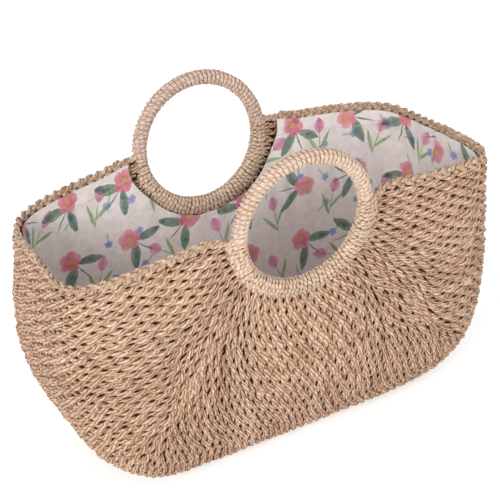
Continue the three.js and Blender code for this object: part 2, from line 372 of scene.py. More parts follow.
def column_paths(k, start, turn=None):
    """Directions (as unit-cube points) of the paths of columns k over the front half: from the ring, at the
    radius start, over the panel and on to the middle of the base or of the end. As column, row, xyz."""
    e = middle_distance(k)
    s = np.interp(e, MIDDLE_DISTANCE, MIDDLE_PLACE)
    wide, high = LENGTH / 2, RING_HEIGHT + FOOT_FLATTEN
    across, down = np.minimum(s, 1), np.minimum(1, 2 - s)
    end = np.stack([across * wide, -down * high], -1)
    away = unit(np.stack([across ** 6, -down ** 6], -1))       # out of the end, down through the base
    turn = np.radians(leaving_angle(e) if turn is None else turn)
    first = np.stack([start * np.sin(turn), -start * np.cos(turn)], -1)
    radial = unit(first)
    radial[:, 1] = np.minimum(radial[:, 1], 0)
    first[:, 1] = np.minimum(first[:, 1] - rim_lift(first[:, 0], first[:, 1]), 0)
    far = np.linalg.norm(end - first, axis=1, keepdims=True)
    c1, c2 = first + 0.35 * far * radial, end - 0.5 * far * away
    t = np.linspace(0, 1, PANEL_ROWS)[:, None, None]
    xz = (1 - t) ** 3 * first + 3 * (1 - t) ** 2 * t * c1 + 3 * (1 - t) * t ** 2 * c2 + t ** 3 * end
    panel = np.stack([xz[..., 0] / wide * np.sign(k), -np.ones(xz.shape[:2]), xz[..., 1] / high], -1)
    under = np.repeat(panel[-1:], UNDER_ROWS, 0)
    under[..., 1] = -1 + np.linspace(0, 1, UNDER_ROWS + 1)[1:, None]
    return np.concatenate([panel, under]).transpose(1, 0, 2)


def columns_come_in(q, ks, column):
    """How far each column has come in at each row, from 0 to 1, and which columns run all the way. A column
    comes in where the two that it lies between stand wide enough apart. Odd ones lie between near neighbours,
    so they come in last."""
    spread = np.hanning(19)
    weight = np.ones((len(ks), q.shape[1]))
    runs_through = np.ones(len(ks), bool)
    for i, k in enumerate(ks):
        j = abs(k) - BASE_COLUMNS
        if j == 0 or abs(j) >= LEVELS:
            continue
        runs_through[i] = False
        level = j & -j
        room = q[column[i] + 2 * level] - q[column[i] - 2 * level]
        w = ramp(room / (2 * BASE_PITCH), 0.53, 0.91)
        w = np.convolve(np.pad(w, 9, mode="edge"), spread / spread.sum(), "valid")
        weight[i] = np.minimum.accumulate(w[::-1])[::-1]      # once in, a column stays in
    return weight, runs_through


def lay_out_columns():
    """The weave's columns k = -COLUMNS..COLUMNS: their numbers, centre directions, the room on each hand, and
    how far each has come in. Hand 1 is the side of the smaller numbers."""
    k_fine = np.arange(-COLUMNS - 1, COLUMNS + 1.01, 0.5)
    d = column_paths(k_fine, WEAVE_START)
    p, _ = on_surface(d, PATH_INSET)
    along = unit(np.gradient(p, axis=1))
    gap = np.diff(p, axis=0)
    mid = unit(along[1:] + along[:-1])
    gap = np.linalg.norm(gap - (gap * mid).sum(-1, keepdims=True) * mid, axis=-1)
    q = np.concatenate([np.zeros((1, gap.shape[1])), np.cumsum(gap, 0)])      # distance across the columns
    ks = np.arange(-COLUMNS, COLUMNS + 1)
    column = 2 * (ks + COLUMNS + 1)
    weight, runs_through = columns_come_in(q, ks, column)
    place = q[column].copy()
    marks = np.flatnonzero(runs_through)
    for a, b in zip(marks[:-1], marks[1:]):
        if b - a < 2:
            continue
        inner = weight[a + 1:b]
        before = 0.5 + np.cumsum(inner, 0) - inner / 2
        place[a + 1:b] = place[a] + (place[b] - place[a]) * before / (1 + inner.sum(0))
    centre = np.empty((len(ks), d.shape[1], 3))
    for row in range(d.shape[1]):
        centre[:, row] = sampled(place[:, row], q[:, row], d[:, row])
    # The room that a column has: half way to the next one that is in.
    edge = np.concatenate([place[:1] - BASE_PITCH, place, place[-1:] + BASE_PITCH])
    share = np.concatenate([weight[:1], weight, weight[-1:]])
    larger = (edge[2:] - edge[1:-1]) / np.maximum(share[2:] / 2 + weight / 2, 0.3)
    smaller = (edge[1:-1] - edge[:-2]) / np.maximum(share[:-2] / 2 + weight / 2, 0.3)
    width = {hand: np.clip(room * weight, 3.0, 15.0) for hand, room in ((1, smaller), (-1, larger))}
    return ks, centre, width, weight


def weave(front, material):
    """The two quarters of the woven body on one side of the basket."""
    ks, centre, width, weight = lay_out_columns()
    quarters = {-1: Cords(), 1: Cords()}
    chance = np.random.default_rng(5 if front else 6)
    for i, k in enumerate(ks):
        first = np.flatnonzero(weight[i] > 0.12)[0]  # the row where the column comes in
        s = along_of(on_surface(centre[i], PATH_INSET)[0])[first:]
        at = np.linspace(s[0], s[-1], max(8, int((s[-1] - s[0]) / STEP)))      # distance from the ring
        left_over = s[-1] - at
        base, out = on_surface(sampled(at, s, centre[i, first:]), CORD_DEPTH)
        base[:, 2] = np.maximum(base[:, 2], -RING_HEIGHT + COLUMN_RISE)
        side = unit(np.cross(unit(np.gradient(base, axis=0)), out))
        # The swing ends at its widest, where the other side's cords take over.
        drift = wandering(chance, at, DRIFT_STEP, DRIFT, LONGEST) * ramp(left_over, 0, 40)
        last = 2 * np.pi * s[-1] / TWINE
        miss = np.pi * round(last / np.pi) - last
        phase = 2 * np.pi * at / TWINE + drift + miss * ramp(left_over, 90, 0)
        swing = np.cos(phase) + 0.14 * np.cos(3 * phase)      # sharper turns than a plain wave has
        slant = -1 if k < 0.8 * BASE_COLUMNS else 1  # the stitches lean the other way at the right end
        steep = 1 + 0.3 * out[:, 0] ** 2             # the ends are woven looser
        come_in = np.interp(at, s, weight[i, first:])
        for hand in (-1, 1):
            over = hand * slant * np.cos(phase + 0.35)
            lift = DIVE * steep * over + chance.normal(0, UNEVEN_LIFT) - (1 - come_in)
            room = np.interp(at, s, width[hand][i, first:])
            size = CORD / 2 * np.clip(room / BASE_PITCH, 0.6, 1.3) * (1 + chance.normal(0, UNEVEN_SIZE))
            size = size * (1 + SWELL * over)
            if first > 0:                            # a new column rises thin from under its neighbours
                lift = lift - 2.0 * ramp(at - s[0], 16, 0)
                size = size * (0.35 + 0.65 * ramp(at - s[0], 0, 14))
            sideways = hand * (room / 4 + SWING * swing * room / BASE_PITCH)
            sideways = sideways + wandering(chance, at, STRAY_STEP, STRAY, LONGEST)
            line = base + side * sideways[:, None] + out * lift[:, None]
            line[:, 2] = np.maximum(line[:, 2], -RING_HEIGHT + CORD_RISE)
            quarters[-1 if k < 0 else 1].add(line * to_panel(front), out * to_panel(front), size * CORD_WIDE,
                                             size * CORD_DEEP, floor=-RING_HEIGHT, lay=CORD_LAY)
    made = []
    for hand, name in ((-1, "left"), (1, "right")):
        o = quarters[hand].object(f"woven_{'front' if front else 'back'}_{name}", material)
        made.append(o)
    return made


# Sheets: the weave's inner side, painted dark brown as shade, and the lining

def skins_of(grid, insets, below, front, hand, name, material, dent=None):
    """A closed thin sheet between two insets of a grid of directions, with its place on the flat cloth in mm
    as UV. dent says how far a point stands in from the surface."""
    skins = []
    for inset in insets:
        q, out = on_surface(grid, inset, below)
        if dent is not None:
            q = q - out * dent(q)[..., None]
        skins.append((q * to_panel(front)).reshape(-1, 3))
    n, m = grid.shape[:2]
    i, j = np.meshgrid(np.arange(n - 1), np.arange(m - 1), indexing="ij")
    outer = np.stack([i * m + j, i * m + j + 1, (i + 1) * m + j + 1, (i + 1) * m + j], -1).reshape(-1, 4)
    loop = np.concatenate([np.arange(m), np.arange(1, n) * m + m - 1,
                           (n - 1) * m + np.arange(m - 2, -1, -1), np.arange(n - 2, 0, -1) * m])
    following = np.roll(loop, -1)
    rim = np.stack([following, loop, loop + n * m, following + n * m], -1)
    faces = np.concatenate([outer, outer[:, ::-1] + n * m, rim])
    if (hand < 0) == front:
        faces = faces[:, ::-1]
    flat = np.concatenate([flat_of(grid, front).reshape(-1, 2)] * 2)
    return make(name, np.concatenate(skins), faces, flat[faces], material, sharp=55)


def wall_grid(hand, start, stop_at=None, flare=8.0, rows=64, across=96):
    """Directions over one quarter of the basket, from the notch round the ring out to the basket's middle, or
    down to the height stop_at. The notch opens wider near the rim by the flare."""
    k = np.linspace(1e-6, COLUMNS + 0.5, across) * hand
    even = LAST_ANGLE * middle_distance(k) / TOTAL
    d = column_paths(k, start + flare * ramp(even, 52, 86), turn=even)
    p, _ = on_surface(d, LINING_INSET)
    grid = np.empty((len(k), rows, 3))
    for i in range(len(k)):
        s = along_of(p[i])
        stop = s[-1]
        if stop_at is not None and p[i, -1, 2] < stop_at:
            under = np.flatnonzero(p[i, :, 2] < stop_at)[0]
            part = (p[i, under - 1, 2] - stop_at) / (p[i, under - 1, 2] - p[i, under, 2])
            stop = s[under - 1] + part * (s[under] - s[under - 1])
        grid[i] = sampled(np.linspace(0, stop, rows), s, d[i])
    return grid


def flat_of(d, front):
    """Where a point lies on the cloth when it is spread out, in mm: along the rim, and up."""
    p, _ = on_surface(d, LINING_INSET)
    turn = np.linspace(0, np.pi / 2, 400)
    s = along_of(on_surface(np.stack([np.sin(turn), -np.cos(turn), 0 * turn], -1), LINING_INSET)[0])
    angle = np.arctan2(np.abs(d[..., 0]), np.maximum(-d[..., 1], 1e-6))
    flat = np.stack([np.sign(p[..., 0]) * np.interp(angle, turn, s), p[..., 2]], -1)
    return flat if front else flat * [-1, 1] + BACK_PRINT


def folds(q):
    """How far the lining stands in from the weave: a turned hem, slack waves 60 to 130 mm long between it and
    the base, small gathers about 23 mm long in its upper half, and a ridge along each side seam."""
    x, y, z = q[..., 0], q[..., 1], q[..., 2]
    slack = ramp(-z, 2, 47) * ramp(z + RING_HEIGHT - BASE_SEAM, 0, 36)
    wave = np.sin(x / 21 + y / 13 + 0.8 * np.sin(z / 37))
    wave = wave + 0.7 * np.sin(x / 10.5 - y / 9 + z / 31 + 2) + 0.5 * np.sin(z / 15 + x / 45 - y / 25)
    gathers = 1 + np.sin(x / 3.6 + y / 3.9 + 1.3 * np.sin(x / 29 + z / 41)) * np.sin(x / 37 - y / 19 + 1)
    gathers = gathers * ramp(-z, -6, 24) * ramp(z, -130, -70)
    hem = HEM_THICK * ramp(z - rim_height(x) + HEM_WIDTH, -2, 0)
    seam = SEAM_THICK * np.exp(-(y / 1.5) ** 2) * (np.abs(x) > 150)
    return slack * np.maximum(0, SLACK + SLACK_WAVES * wave) + GATHERS * gathers + hem + seam


def lining_base(name, material, around=160, rows=34):
    """The cloth bottom: a shallow cup up to the seam with the lining's walls."""
    turn = np.linspace(0, 2 * np.pi, around, endpoint=False)
    plan = np.stack([np.cos(turn), np.sin(turn)], -1)
    plan = plan / np.abs(plan).max(1, keepdims=True)
    t = np.linspace(0.03, 2, 300)
    climbs = 150                                 # the points from here on climb the walls
    d = np.concatenate([plan[:, None] * np.minimum(t, 1)[None, :, None],
                        np.broadcast_to(-np.minimum(1, 2 - t)[None, :, None], (around, len(t), 1))], -1)
    p, _ = on_surface(d, LINING_INSET)
    grid = np.empty((around, rows, 3))
    for i in range(around):
        s = along_of(p[i])
        stop = np.interp(BASE_SEAM - RING_HEIGHT - 0.1, p[i, climbs:, 2], s[climbs:])
        grid[i] = sampled(np.linspace(0, stop, rows), s, d[i])
    skins = []
    for inset in (LINING_INSET, LINING_INSET + CLOTH):
        q, _ = on_surface(grid, inset)
        x, y = q[..., 0], q[..., 1]
        loose = ramp(np.abs(y), 95, 70) * ramp(np.abs(x), 205, 175)
        wave = 0.35 * np.sin(x / 19 + 0.7 * np.sin(y / 14)) + 0.25 * np.sin(y / 8 - x / 31)
        q[..., 2] += loose * (0.5 + wave)
        skins.append(q)
    i, j = np.meshgrid(np.arange(around), np.arange(rows - 1), indexing="ij")
    i2 = (i + 1) % around
    sheet = np.stack([i * rows + j, i * rows + j + 1, i2 * rows + j + 1, i2 * rows + j], -1).reshape(-1, 4)
    size = around * rows                         # points of one skin; the two middle points come after both
    even = np.arange(0, around, 2)
    middle = np.stack([0 * even + 2 * size, even * rows, (even + 1) % around * rows,
                       (even + 2) % around * rows], -1)
    other_middle = np.where(middle == 2 * size, 2 * size + 1, middle + size)
    top = np.arange(around) * rows + rows - 1
    following = np.roll(top, -1)
    rim = np.stack([following, top, top + size, following + size], -1)
    faces = np.concatenate([sheet, middle, sheet[:, ::-1] + size, other_middle[:, ::-1], rim])[:, ::-1]
    points = np.concatenate([skins[0].reshape(-1, 3), skins[1].reshape(-1, 3),
                             [skins[0][:, 0].mean(0), skins[1][:, 0].mean(0)]])
    return make(name, points, faces, points[faces][..., :2] + BASE_PRINT, material, sharp=60)


def stitches(front, hand, name, material):
    """The hem's thread: stitches 2.8 mm long on the inside of the cloth, a little below the rim."""
    cords = Cords()
    turn = np.linspace(0.0, np.pi / 2, 900)
    d = np.stack([np.sin(turn) * hand, -np.cos(turn), 0 * turn - 0.055], -1)
    p, out = on_surface(d, LINING_INSET + CLOTH + 0.35, -HEM_RISE)
    p = p - out * folds(p)[..., None]
    clear = np.hypot(p[:, 0], p[:, 2]) > NOTCH_RADIUS + 3
    p, out = p[clear] * to_panel(front), out[clear] * to_panel(front)
    s = along_of(p)
    along_stitch = np.array([0, 0.5, 1.4, 2.3, 2.8])
    into_cloth = np.array([0.5, 0.1, 0, 0.1, 0.5])
    for begin in np.arange(1.0, s[-1] - 4, STITCH_PITCH):
        at = begin + along_stitch
        normal = sampled(at, s, out)
        cords.add(sampled(at, s, p) + normal * into_cloth[:, None], normal, *THREAD)
    return cords.object(name, material)


# Materials

def linear(code):
    """A hex sRGB colour as linear RGBA."""
    parts = [int(code[i:i + 2], 16) / 255 for i in (0, 2, 4)]
    return tuple(c / 12.92 if c <= 0.04045 else ((c + 0.055) / 1.055) ** 2.4 for c in parts) + (1.0,)


class Nodes:
    """A material's node tree, with a short way to add a node and link it. shine is the specular level: bare
    plastic has 0.5, and dry paper and cotton fibres have about half of it."""

    def __init__(self, name, roughness, shine=0.25):
        self.material = bpy.data.materials.new(name)
        self.material.use_nodes = True
        self.tree = self.material.node_tree
        self.shader = self.tree.nodes["Principled BSDF"]
        self.put(self.shader.inputs["Roughness"], roughness)
        self.put(self.shader.inputs["Specular IOR Level"], shine)

    def add(self, kind, *values, **settings):
        """A node. A kind in capitals is a sum. Values go to its sockets in order, or by name from a dict."""
        node = self.tree.nodes.new("ShaderNodeMath" if kind.isupper() else "ShaderNode" + kind)
        if kind.isupper():
            node.operation = kind
        for key, value in settings.items():
            setattr(node, key, value)
        for place, value in enumerate(values):
            for key, one in (value.items() if isinstance(value, dict) else [(place, value)]):
                self.put(node.inputs[key], one)
        return node

    def put(self, socket, value):
        """Links a node or an output to the socket, or sets its value."""
        if isinstance(value, bpy.types.Node):
            value = next(o for o in value.outputs if o.enabled)
        if isinstance(value, bpy.types.NodeSocket):
            self.tree.links.new(value, socket)
        else:
            socket.default_value = value

    def tones(self, factor, low, high, *colours):
        """Colours that follow a factor from low to high."""
        blend = self.add("ValToRGB", self.add("MapRange", factor, low, high))
        steps = blend.color_ramp.elements
        steps[0].color, steps[1].color = linear(colours[0]), linear(colours[-1])
        for i, colour in enumerate(colours[1:-1]):
            steps.new((i + 1) / (len(colours) - 1)).color = linear(colour)
        return blend

    def finish(self, colour, height, strength, millimetres):
        """The finished material, with a relief that is so many millimetres high."""
        self.put(self.shader.inputs["Base Color"], colour)
        bump = self.add("Bump", {"Strength": strength, "Distance": millimetres / 1000, "Height": height})
        self.put(self.shader.inputs["Normal"], bump)
        return self.material


def straw_material(name, tones, groove_relief_and_shade, depth, lay, plies=2, fibre=1.0, strands=17.0):
    """Twisted paper cord. The tone changes from cord to cord, in patches and along its fibres, and is painted
    darker in the grooves between its plies as their shade, which with the rest gives the dry, uneven look of
    straw. The weights for grooves and fibres say how much of the tone they make up. lay: one turn of the
    grooves in mm. strands: fibres round the cord. Real fibres are too fine to show, so they are drawn 0.5 to
    1.4 mm wide."""
    patch_size, fibre_length = 23.8, 10 / 3
    n = Nodes(name, 0.82)
    place = n.add("SeparateXYZ", n.add("UVMap", uv_map="cloth_and_cord"))
    cord = n.add("FLOOR", place.outputs[0])
    around = n.add("MULTIPLY_ADD", place.outputs[1], -1 / lay, n.add("FRACT", place.outputs[0]))
    tone = n.add("TexWhiteNoise", {"W": cord}, noise_dimensions="1D").outputs["Value"]
    position = n.add("NewGeometry").outputs["Position"]
    patch = n.add("TexNoise", position, {"Scale": 1000 / patch_size, "Detail": 4.0})
    wave = n.add("COSINE", n.add("MULTIPLY_ADD", around, plies * math.pi / STRIP_WIDTH, -0.35))
    ply = n.add("POWER", n.add("ABSOLUTE", wave), 0.6)
    fibre_at = n.add("CombineXYZ", n.add("MULTIPLY", around, strands),
                     n.add("MULTIPLY", place.outputs[1], 1 / fibre_length), cord)
    fibres = n.add("TexNoise", fibre_at, {"Scale": 1.0, "Detail": 4.0, "Roughness": 0.65})
    mix = n.add("MULTIPLY_ADD", tone, 0.2, n.add("MULTIPLY", patch, 0.45))
    mix = n.add("MULTIPLY_ADD", fibres, fibre, mix)
    # painted shade: the tone darkens in the grooves between the plies and lightens on their crowns
    mix = n.add("MULTIPLY_ADD", ply, groove_relief_and_shade, mix)
    darkest, lightest = 0.02 + 0.5 * fibre + 0.3 * groove_relief_and_shade, 0.65 + 0.5 * fibre + 0.95 * groove_relief_and_shade
    n.put(n.shader.inputs["Sheen Weight"], 0.1)
    height = n.add("MULTIPLY_ADD", fibres, 1.6, n.add("MULTIPLY", ply, 2 * groove_relief_and_shade))
    return n.finish(n.tones(mix, darkest, lightest, *tones), height, strength=depth, millimetres=0.8)


def painted_shade_sheet_material():
    """A sheet behind the cords, seen between the front ones: the shade on the backs of the paper cords,
    painted in as a dull, dark brown, with the cords' own size as its grain, about 4 mm."""
    n = Nodes("painted_shade_behind_the_cords", 0.95, 0.1)
    position = n.add("NewGeometry").outputs["Position"]
    grain = n.add("TexNoise", position, {"Scale": 1000 / 3.85, "Detail": 4.0})
    # painted shade: these dark browns stand for the shade between the cords
    colour = n.tones(grain, 0.3, 0.7, "24130A", "3B2411", "54371F")
    return n.finish(colour, grain, strength=0.6, millimetres=0.8)


def rattan_material():
    """Peeled rattan of the ring's core: a slight gloss over pale fibres, 3.3 mm long and a ninth as thick."""
    n = Nodes("peeled_rattan", 0.5, 0.4)
    position = n.add("NewGeometry").outputs["Position"]
    fibres = n.add("TexNoise", n.add("VectorMath", position, (1.0, 9.0, 1.0), operation="MULTIPLY"),
                   {"Scale": 1000 / 3.333, "Detail": 3.0})
    colour = n.tones(fibres, 0.3, 0.7, "8F6A42", "B58A5A", "CFA878")
    return n.finish(colour, fibres, strength=0.3, millimetres=0.3)


def thread_material():
    """Sewing thread: off-white, with the fine slant of its twist, one turn in 0.7 mm, painted darker along
    the twist's grooves as their shade.
    """
    n = Nodes("sewing_thread", 0.6)
    place = n.add("SeparateXYZ", n.add("UVMap", uv_map="cloth_and_cord"))
    round_it = n.add("MULTIPLY", place.outputs[0], 2 * math.pi)
    slant = n.add("SINE", n.add("MULTIPLY_ADD", place.outputs[1], 2 * math.pi / 0.698, round_it))
    # painted shade: the colour darkens where the twist's relief is low
    colour = n.tones(slant, -1.0, 1.0, "C9BEBA", "E9E1DD")
    return n.finish(colour, slant, strength=0.4, millimetres=0.1)


def in_cells(n, at, cell, shift, seed, jitter, swing):
    """Splits the cloth into cells of that many mm. Gives the place in the cell, moved by up to half the
    jitter and turned by up to half the swing, and the three chances that the cell has drawn."""
    scaled = n.add("VectorMath", at, (1 / cell, 1 / cell, 0), (shift, 0.6 * shift, 0),
                   operation="MULTIPLY_ADD")
    whole = n.add("VectorMath", scaled, operation="FLOOR")
    part = n.add("VectorMath", scaled, whole, operation="SUBTRACT")
    seeded = n.add("VectorMath", whole, (seed, seed, seed), operation="ADD")
    drawn = n.add("TexWhiteNoise", seeded, noise_dimensions="3D").outputs["Color"]
    centred = n.add("VectorMath", drawn, (jitter, jitter, 0), (-(cell + jitter) / 2,) * 2 + (0,),
                    operation="MULTIPLY_ADD")
    local = n.add("VectorMath", part, (cell, cell, 0), centred, operation="MULTIPLY_ADD")
    chance = n.add("SeparateColor", drawn)
    angle = n.add("MULTIPLY_ADD", chance.outputs[2], swing, -swing / 2)
    return n.add("VectorRotate", local, {"Angle": angle}, rotation_type="Z_AXIS"), chance


def leaf(n, at, x, y, angle, length, width):
    """1 inside a pointed leaf about (x, y), 0 outside, and how far from its middle rib."""
    moved = n.add("VectorRotate", n.add("VectorMath", at, (-x, -y, 0), operation="ADD"), {"Angle": -angle},
                  rotation_type="Z_AXIS")
    part = n.add("SeparateXYZ", moved)
    far = n.add("MULTIPLY", part.outputs[1], 2 / length)
    edge = n.add("MULTIPLY_ADD", n.add("MULTIPLY", far, far), -width / 2, width / 2)
    rib = n.add("ABSOLUTE", part.outputs[0])
    return n.add("MapRange", n.add("SUBTRACT", edge, rib), -0.25, 0.35), rib


def petals(n, at, x, y, radius, count, notch):
    """1 inside a flower with that many petals, 0 outside, and the distance from its middle in radii."""
    part = n.add("SeparateXYZ", n.add("VectorMath", at, (-x, -y, 0), operation="ADD"))
    flat = n.add("CombineXYZ", part.outputs[0], part.outputs[1])
    far = n.add("VectorMath", flat, operation="LENGTH").outputs["Value"]
    turn = n.add("ARCTAN2", part.outputs[1], part.outputs[0])
    wave = n.add("ABSOLUTE", n.add("COSINE", n.add("MULTIPLY", turn, count / 2)))
    edge = n.add("MULTIPLY_ADD", n.add("POWER", wave, 0.6), radius * notch, radius * (1 - notch))
    return n.add("MapRange", n.add("SUBTRACT", edge, far), -0.3, 0.4), n.add("DIVIDE", far, radius)


# The print's stems and leaves, in mm on the cloth: x, y, angle in radians, length and width.
SPRIG = (2.5, -8.0, 0.3, 11.0, 2.6)
BUD = (0, 12, 0.0, 17, 11.5)
BUD_LEAVES = ((0, -8, 0.0, 32, 1.3), (6.5, -9, -0.55, 27, 4.4), (-6, -4, 0.6, 24, 4.0))
ROSE_LEAVES = ((12.5, -10, -2.1, 31, 10.5), (-11.5, -13, 2.4, 29, 9.5), (1, -15, 0.1, 25, 1.5))


def printed_cotton():
    """Off-white cotton with a scattered print of dog roses, buds and small blue flowers in thin, uneven
    colour. Its plain weave, a thread in 0.26 mm and thicker ones here and there, gives a fine matt relief."""
    n = Nodes("printed_cotton", 0.88, 0.15)
    flat = n.add("UVMap", uv_map="cloth_and_cord")
    wander = n.add("TexNoise", flat, {"Scale": 1 / 6.25, "Detail": 3.0})      # makes the edges uneven
    at = n.add("VectorMath", wander.outputs["Color"], (2.6, 2.6, 0), flat, operation="MULTIPLY_ADD")
    pools = n.add("TexNoise", flat, {"Scale": 1 / 7.69, "Detail": 4.0, "Roughness": 0.6})     # of thin colour
    wash = n.add("MapRange", pools, 0.3, 0.7, 0.62, 1.0)
    colour = n.tones(wash, 0.62, 1.0, "E2D7D4", "F1EAE7")

    def paint(under, mask, tint, strength):
        shade = n.add("MULTIPLY", n.add("MULTIPLY", mask, wash), strength)
        return n.add("Mix", {0: shade, 6: under, 7: tint}, data_type="RGBA").outputs[2]

    # Small blue five-petalled flowers, some cells left empty.
    local, chance = in_cells(n, at, cell=34.0, shift=0.31, seed=5.0, jitter=12.0, swing=6.2)
    flower, far = petals(n, local, 0, 0, radius=4.6, count=5, notch=0.38)
    sprig, _ = leaf(n, local, *SPRIG)
    some = n.add("GREATER_THAN", chance.outputs[0], 0.3)
    blue = n.tones(far, 0.1, 1.0, "5F68B4", "7E8CD0", "9CA6DC")
    colour = paint(colour, n.add("MULTIPLY", sprig, some), linear("8FAE6E"), 0.8)
    colour = paint(colour, n.add("MULTIPLY", flower, some), blue, 0.95)

    # Buds on a thin stem with narrow light leaves.
    local, chance = in_cells(n, at, cell=61.0, shift=0.52, seed=11.0, jitter=12.0, swing=2.6)
    for place in BUD_LEAVES:
        shape, rib = leaf(n, local, *place)
        colour = paint(colour, shape, n.tones(rib, 0.0, 2.0, "6E9A55", "98B86A"), 0.95)
    bud, rib = leaf(n, local, *BUD)
    paler = n.add("ADD", rib, n.add("MULTIPLY", chance.outputs[1], 3.0))
    colour = paint(colour, bud, n.tones(paler, 0.0, 7.0, "B04A7E", "D0709E", "E69AB4"), 0.95)

    # Open dog roses with a pair of broad dark leaves.
    local, chance = in_cells(n, at, cell=61.0, shift=0.02, seed=3.0, jitter=6.0, swing=3.4)
    for place in ROSE_LEAVES:
        shape, rib = leaf(n, local, *place)
        colour = paint(colour, shape, n.tones(rib, 0.0, 4.5, "22554A", "3A6C5A", "5F8C64"), 0.97)
    rose, far = petals(n, local, 0, 4, radius=11.4, count=5, notch=0.26)
    paler = n.add("MULTIPLY_ADD", chance.outputs[0], 0.5, far)
    colour = paint(colour, rose, n.tones(paler, 0.1, 1.4, "B03860", "D6647F", "EC979F"), 0.97)
    heart = n.add("MapRange", far, 0.30, 0.2)
    colour = paint(colour, heart, linear("D9A93F"), 0.95)

    thread = n.add("SeparateXYZ", flat)
    warp, weft = (n.add("SINE", n.add("MULTIPLY", thread.outputs[i], math.pi / 0.2618)) for i in (0, 1))
    slub = n.add("TexNoise", flat, {"Scale": 1 / 0.625, "Detail": 2.0})
    height = n.add("MULTIPLY_ADD", slub, 1.4, n.add("MULTIPLY", warp, weft))
    n.put(n.shader.inputs["Sheen Weight"], 0.15)
    return n.finish(colour, height, strength=0.25, millimetres=0.2)


# Rings

def ring_frame(side):
    """The ring's lowest point, in the panel's middle, and the directions out through the panel and up."""
    lean = -side * math.radians(RING_LEAN)
    foot = np.array([0, side * (DEPTH - WALL) / 2, -RING_RADIUS])
    through = np.array([0, math.cos(lean), math.sin(lean)])
    up = np.array([0, -math.sin(lean), math.cos(lean)])
    return foot, through, up


def on_ring(side, angle, radius, off):
    """Points at an angle from the ring's lowest point, at a radius from its middle and off to one side."""
    foot, through, up = ring_frame(side)
    x = radius * np.sin(angle)
    z = RING_RADIUS - radius * np.cos(angle)
    sideways = np.multiply.outer(np.ones_like(x) * off, through)
    return foot + np.stack([x, 0 * x, 0 * x], -1) + sideways + np.multiply.outer(z, up)


def under_tube(cords, side, angle, radius, wide, deep, sides):
    """A plain tube of straw colour under the turns, so that nothing shows through between them."""
    line = on_ring(side, angle, radius + 0 * angle, 0 * angle)
    cords.add(line, 0 * line + ring_frame(side)[1], wide, deep, sides=sides)


def ring_wrap(side, name, material):
    """One two-ply cord wound turn by turn over the upper arc."""
    cords = Cords()
    points_a_turn = 24
    sweep = math.radians(360 - 2 * (BINDING_REACH + END_GAP))
    turns = round(RING_RADIUS * sweep / WRAP_PITCH)
    t = np.linspace(0, 1, turns * points_a_turn + 1)
    wind = 2 * np.pi * turns * t
    angle = math.radians(BINDING_REACH + END_GAP) + sweep * t
    chance = np.random.default_rng(11 + side)
    loose = 1 + wandering(chance, t * turns, 1, 0.02, turns + 2)
    reach = (CORE_RADIUS + 0.1 + WRAP_CORD / 2) * loose
    line = on_ring(side, angle, RING_RADIUS + reach * np.cos(wind), reach * np.sin(wind))
    middle = on_ring(side, angle, RING_RADIUS + 0 * t, 0 * t)
    cords.add_pair(line, line - middle, *WRAP_PLIES)
    tucked = BINDING_REACH - 2                   # its ends lie under the binding
    bend = np.radians(np.linspace(tucked, 360 - tucked, 2 * turns + 1))
    under_tube(cords, side, bend, RING_RADIUS, CORE_RADIUS + 1, CORE_RADIUS + 1, 16)
    return cords.object(name, material, soft=False)


def ring_binding(side, name, material):
    """Two-ply cord loops wound side by side over the lower arc, thickest near the ring. Every other loop
    reaches further out among the cords of the weave."""
    cords = Cords()
    chance = np.random.default_rng(31 + side)
    sweep = math.radians(2 * BINDING_REACH)
    loops = round(RING_RADIUS * sweep / BINDING_PITCH)
    thick = 1.9                                  # from the loop's outside to the middle of its cord
    spread, ply_size, lay = BINDING_PLIES
    turn = np.linspace(0, 2 * np.pi, 40, endpoint=False)
    c, s = np.cos(turn), np.sin(turn)
    for i in range(loops):
        angle = -sweep / 2 + sweep * (i + 0.5) / loops + chance.normal(0, 0.004)
        longer = LONG_LOOP * (i % 2) + chance.normal(0, 0.35)
        reach = (BINDING_OUT + BINDING_IN + longer) / 2 - thick
        radial = (BINDING_OUT - BINDING_IN + longer) / 2 + reach * np.sign(c) * np.abs(c) ** 0.9
        taper = 1 - 0.36 * ramp(radial, -2, 10)           # thinner among the cords of the weave
        across = (BINDING_THICK - thick * 0.9) * np.sign(s) * np.abs(s) ** 0.85 * taper
        across = across * (1 + chance.normal(0, 0.03))
        line = on_ring(side, angle + 0.026 * s, RING_RADIUS + radial, across)      # a loop leans a little
        middle = on_ring(side, angle + 0 * radial, RING_RADIUS + 2 + 0 * radial, 0 * radial)
        wide = (RING_RADIUS + radial) / RING_RADIUS       # a loop is thicker on the ring's outer side
        cords.add_pair(line, line - middle, spread * wide, ply_size * wide, lay, chance.uniform(0, 6),
                       ring=True)
    bend = np.linspace(-sweep / 2, sweep / 2, 90)
    wide, deep = (BINDING_OUT + BINDING_IN) / 2 - 2.6, BINDING_THICK - 3.9
    under_tube(cords, side, bend, RING_RADIUS + (BINDING_OUT - BINDING_IN) / 2, wide, deep, 12)
    return cords.object(name, material, soft=False)


